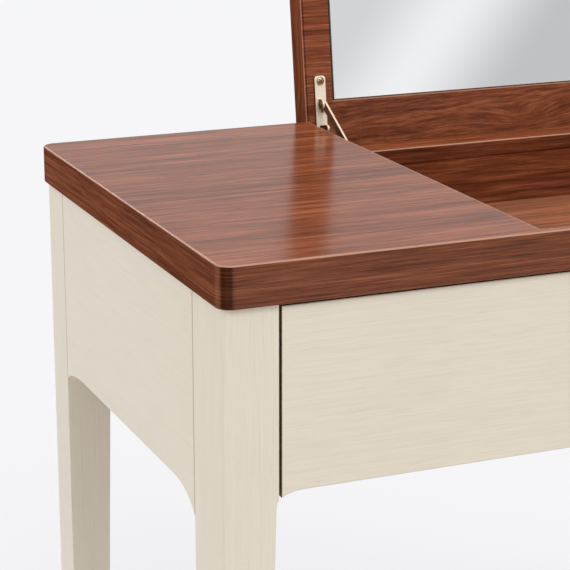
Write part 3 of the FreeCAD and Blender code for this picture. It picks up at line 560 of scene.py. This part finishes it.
stay_finish = Finish("stay_brass", Metallic=0.2, Specular_IOR_Level=0.1)
face_x, face_y, face_z = stay_finish.facing()
rolled = stay_finish.grain((2000, 2000, 140), detail=3, roughness=0.6)
cloud = stay_finish.grain((60, 60, 60))
# Faces to the sides are browned: a painted reflection of the dark wood round them.
side_reflection = face_x.rises(0.55, 0.8) * (0.94 + cloud * 0.10)
bright = stay_finish.blend(rolled * 0.5 + cloud * 0.5, champagne, champagne_low)
# Edges that face up turn rosy: a painted reflection.
bright = stay_finish.blend(face_z.rises(0.30, 0.55), bright, rose_reflection)
stay_finish.surface(stay_finish.blend(side_reflection, bright, reflected_brown),
                    0.32 + rolled * 0.12 + side_reflection * 0.25, rolled, metal_relief)
stay_finish.on("left_stay_plate", "right_stay_plate", "left_stay_arm", "right_stay_arm")


def satin_metal(name, pale, low, roughness, spacing):
    """Brushed or tumbled metal: scratches a spacing apart vary its colour and gloss."""
    finish = Finish(name, Metallic=1.0)
    scratches = finish.grain((1 / spacing, 1 / spacing, 1 / (spacing * 14)),
                             detail=3, roughness=0.6)
    cloud = finish.grain((60, 60, 60))
    finish.surface(finish.blend(scratches * 0.5 + cloud * 0.5, pale, low),
                   roughness + scratches * 0.12, scratches, metal_relief)
    return finish


satin_metal("rivet_brass", (0.22, 0.13, 0.055), (0.10, 0.055, 0.02), 0.36, 0.0005).on(
    "stay_rivets")
satin_metal("track_metal", (0.60, 0.59, 0.57), (0.45, 0.44, 0.42), 0.42, 0.0012).on(
    "left_stay_track", "right_stay_track")


# ---- Hinges ----
# Two butt hinges of drawn brass, with their leaves let into the rear edges of the ledge and
# of the lid.

satin_metal("hinge_brass", (0.74, 0.55, 0.30), (0.52, 0.36, 0.18), 0.28, 0.0005).on(
    "hinge_frame_leaves", "hinge_lid_leaves", "hinge_pins")


# ---- Screws and bolts ----
# Brass screws hold the plates and the hinges. Screws and bolts of zinc-plated steel hold
# the tracks, the blocks and the top. A screw's head is a dome, or a cone sunk in its seat.
# One piece holds all the screws of a kind, and each takes its place from the frame's own.

recess_reach = 0.62                     # the cross, in shares of the head's radius
recess_width = 0.13
recess_depth = 0.55
side_slope = 0.05                       # its walls lean by these
end_slope = 0.08
thread_pitch = 0.9                      # thread and point, in shares of the shank's radius
thread_depth = 0.24
point_length = 2.2
point_taper = 0.82
dome_share = 0.96                       # how much of a half ball a domed head is
steel = satin_metal("zinc_steel", (0.62, 0.63, 0.64), (0.45, 0.46, 0.47), 0.33, 0.0006)
steel.on("corner_bolts")
screw_brass = satin_metal("screw_brass", (0.80, 0.66, 0.46), (0.50, 0.38, 0.22), 0.24, 0.0005)


def apart(points, gap=0.002):
    """Groups of points that lie more than a gap apart along X, Y or Z."""
    for axis in range(3):
        order = points[np.argsort(points[:, axis])]
        breaks = np.flatnonzero(np.diff(order[:, axis]) > gap) + 1
        if len(breaks):
            return [group for part in np.split(order, breaks) for group in apart(part, gap)]
    return [points]


def screw_surface(points, way, shank_radius, domed, turn, segments):
    """A screw that lies along way where points are: a closed surface.

    Down the screw t and round it a, it is axis + way t + (u cos a + v sin a) r(t, a). Over
    the head t is a dome or flat, sunk by a cross: within recess_width of either of two
    square lines and within recess_reach of the middle. Down the shank r falls and rises with
    the triangle wave of t / pitch - a / 2 pi, which winds the thread. The seat is as deep as
    the shank's radius. Gives the vertices, the quads and the triangles at both ends.
    """
    way = np.array(way) / np.linalg.norm(way)
    u = np.cross(way, (1.0, 0, 0) if abs(way[0]) < 0.9 else (0, 0, 1.0))
    u /= np.linalg.norm(u)
    v = np.cross(way, u)
    spread = np.stack([points @ u, points @ v, points @ way])
    low, high = spread.min(axis=1), spread.max(axis=1)
    head_radius = (high[0] - low[0]) / 2
    length = high[2] - low[2]
    axis = u * (low[0] + high[0]) / 2 + v * (low[1] + high[1]) / 2 + way * low[2]
    around = np.arange(segments) * 2 * np.pi / segments
    seat_depth = shank_radius

    inner = np.linspace(0.04, recess_reach * 1.1, 9)
    out = np.concatenate([inner, [0.8, 0.9, 0.97, 1.0]])[:, None]
    swell = (1 - np.sqrt(1 - dome_share * out ** 2)) * seat_depth if domed else 0 * out
    first, second = out * np.cos(around + turn), out * np.sin(around + turn)
    in_cross = [np.clip((recess_width - abs(a)) / side_slope, 0, 1)
                * np.clip((recess_reach - abs(b)) / end_slope, 0, 1)
                for a, b in ((first, second), (second, first))]
    head_r = out * head_radius + 0 * around
    head_t = swell + np.maximum(*in_cross) * recess_depth * head_radius

    under = np.linspace(0, 1, 4)[:, None]
    if domed:
        under_r = np.where(under < 1, head_radius, shank_radius)
        under_t = np.minimum(under * 1.5, 1) * seat_depth
    else:
        under_r = head_radius + (shank_radius - head_radius) * under
        under_t = under * seat_depth

    pitch = shank_radius * thread_pitch
    tip_start = length - point_length * shank_radius
    down = np.arange(seat_depth, tip_start, pitch / 4)[:, None]
    phase = (down / pitch - around / (2 * np.pi)) % 1
    cut = np.clip(abs(2 * phase - 1) * 1.5 - 0.2, 0, 1)
    thread = shank_radius * (1 - thread_depth * cut)
    tip = np.linspace(0, 1, 5)[1:, None]
    tip_t = length - point_length * shank_radius * (1 - tip)
    tip_r = shank_radius * (1 - point_taper * tip)

    radii = np.concatenate([head_r, under_r + 0 * around, thread, tip_r + 0 * around])
    depths = np.concatenate([head_t, under_t + 0 * around, down + 0 * around, tip_t + 0 * around])
    rows = (axis + depths[..., None] * way + (radii * np.cos(around))[..., None] * u
            + (radii * np.sin(around))[..., None] * v)
    poles = np.array([axis + way * depths[0].mean(), axis + way * length])
    here = np.arange(len(rows) * segments).reshape(len(rows), segments)
    there = np.roll(here, -1, axis=1)
    quads = np.stack([here[:-1], there[:-1], there[1:], here[1:]], axis=-1).reshape(-1, 4)
    top_pole, end_pole = np.full((2, segments), [[here.size], [here.size + 1]])
    ends = np.concatenate([np.stack([top_pole, there[0], here[0]], axis=-1),
                           np.stack([end_pole, here[-1], there[-1]], axis=-1)])
    return np.concatenate([rows.reshape(-1, 3), poles]), quads, ends


def screws(name, node, body, way, shank_radius, finish, domed=False, segments=24):
    """The screws that stand for a CAD node, as one piece.

    way points from the head to the tip, and its X is turned to each screw's own side.
    """
    source = bpy.data.objects[node]
    corners = np.empty(len(source.data.vertices) * 3)
    source.data.vertices.foreach_get("co", corners)
    turned = np.array(source.matrix_world)
    points = corners.reshape(-1, 3) @ turned[:3, :3].T + turned[:3, 3]
    vertices, faces = [], []
    start = 0
    for index, group in enumerate(apart(points)):
        side = np.sign(group[:, 0].mean())
        more, quads, ends = screw_surface(group, (way[0] * side, way[1], way[2]), shank_radius,
                                          domed, 0.6 + index * 1.1, segments)
        vertices.append(more)
        faces += (quads + start).tolist() + (ends + start).tolist()
        start += len(more)
    mesh = bpy.data.meshes.new(name)
    mesh.from_pydata(np.concatenate(vertices).tolist(), [], faces)
    piece = bpy.data.objects.new(name, mesh)
    bpy.context.scene.collection.objects.link(piece)
    finish.on(name)
    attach(piece, body)
    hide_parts(node)


into_lid = (0, math.cos(lean), -math.sin(lean))
up_lid = (0, math.sin(lean), math.cos(lean))
forward = (0, -1, 0)
outward = (1, 0, 0)
upward = (0, 0, 1)
screws("stay_screws", "stay_plate_screws", "lid", into_lid, 0.0016, screw_brass,
       domed=True, segments=72)
screws("frame_leaf_screws", "hinge_frame_screws", "table", forward, 0.0012,
       screw_brass)
screws("lid_leaf_screws", "hinge_lid_screws", "lid", up_lid, 0.0012, screw_brass)
screws("track_screws", "stay_track_screws", "table", outward, 0.0015, steel, segments=36)
screws("corner_block_screws", "top_screws", "table", upward, 0.002, steel)


# ---- Inner woodwork ----
# Drawer boxes, the divider between them, runners, bearers, blocks and dowels are bare or
# clear-finished pale wood.

birch = (0.66, 0.50, 0.33)
birch_low = (0.50, 0.34, 0.20)
beech = (0.60, 0.40, 0.24)
beech_low = (0.46, 0.28, 0.15)
block_wood = (0.62, 0.45, 0.27)
block_wood_low = (0.45, 0.30, 0.17)


def pale_wood(name, pale, dark, along, ring_width):
    """Plain sawn wood with its grain along one axis, 0 for X, 1 for Y and 2 for Z."""
    finish = Finish(name)
    lumps = [1 / ring_width] * 3
    lumps[along] = 4.0
    rings = finish.grain(lumps, detail=3, roughness=0.6)
    fibres = finish.grain([6 * count for count in lumps])
    mix = rings.rises(0.3, 0.75) * 0.7 + fibres * 0.3
    finish.surface(finish.blend(mix, pale, dark), 0.55 + fibres * 0.1, fibres, 0.00008)
    return finish


drawer_sides = [f"{side}_drawer_{piece}" for side in ("left", "right")
                for piece in ("outer_side", "inner_side")]
pale_wood("birch_deep", birch, birch_low, 1, 0.006).on(*drawer_sides, "centre_divider")
pale_wood("birch_wide", birch, birch_low, 0, 0.006).on(
    "left_drawer_back", "right_drawer_back", "left_drawer_bottom", "right_drawer_bottom")
pale_wood("beech", beech, beech_low, 1, 0.004).on(
    "left_drawer_runners", "right_drawer_runners", "left_runner_bearer", "right_runner_bearer")
pale_wood("block_wood", block_wood, block_wood_low, 0, 0.007).on("corner_blocks", "frame_dowels")


# ---- Feet and bumpers ----
# Moulded nylon glides under the feet, and clear soft pads under the lid's corners.

def moulded(name, colour, low, roughness):
    """Plastic with the faint grain of its mould."""
    finish = Finish(name)
    grain = finish.grain((1500, 1500, 1500))
    finish.surface(finish.blend(grain, colour, low), roughness + grain * 0.1, grain, 0.00003)
    return finish


moulded("nylon_glide", (0.10, 0.095, 0.09), (0.07, 0.065, 0.06), 0.45).on("leg_glides")
moulded("soft_pad", (0.55, 0.53, 0.50), (0.45, 0.43, 0.40), 0.35).on("lid_bumpers")
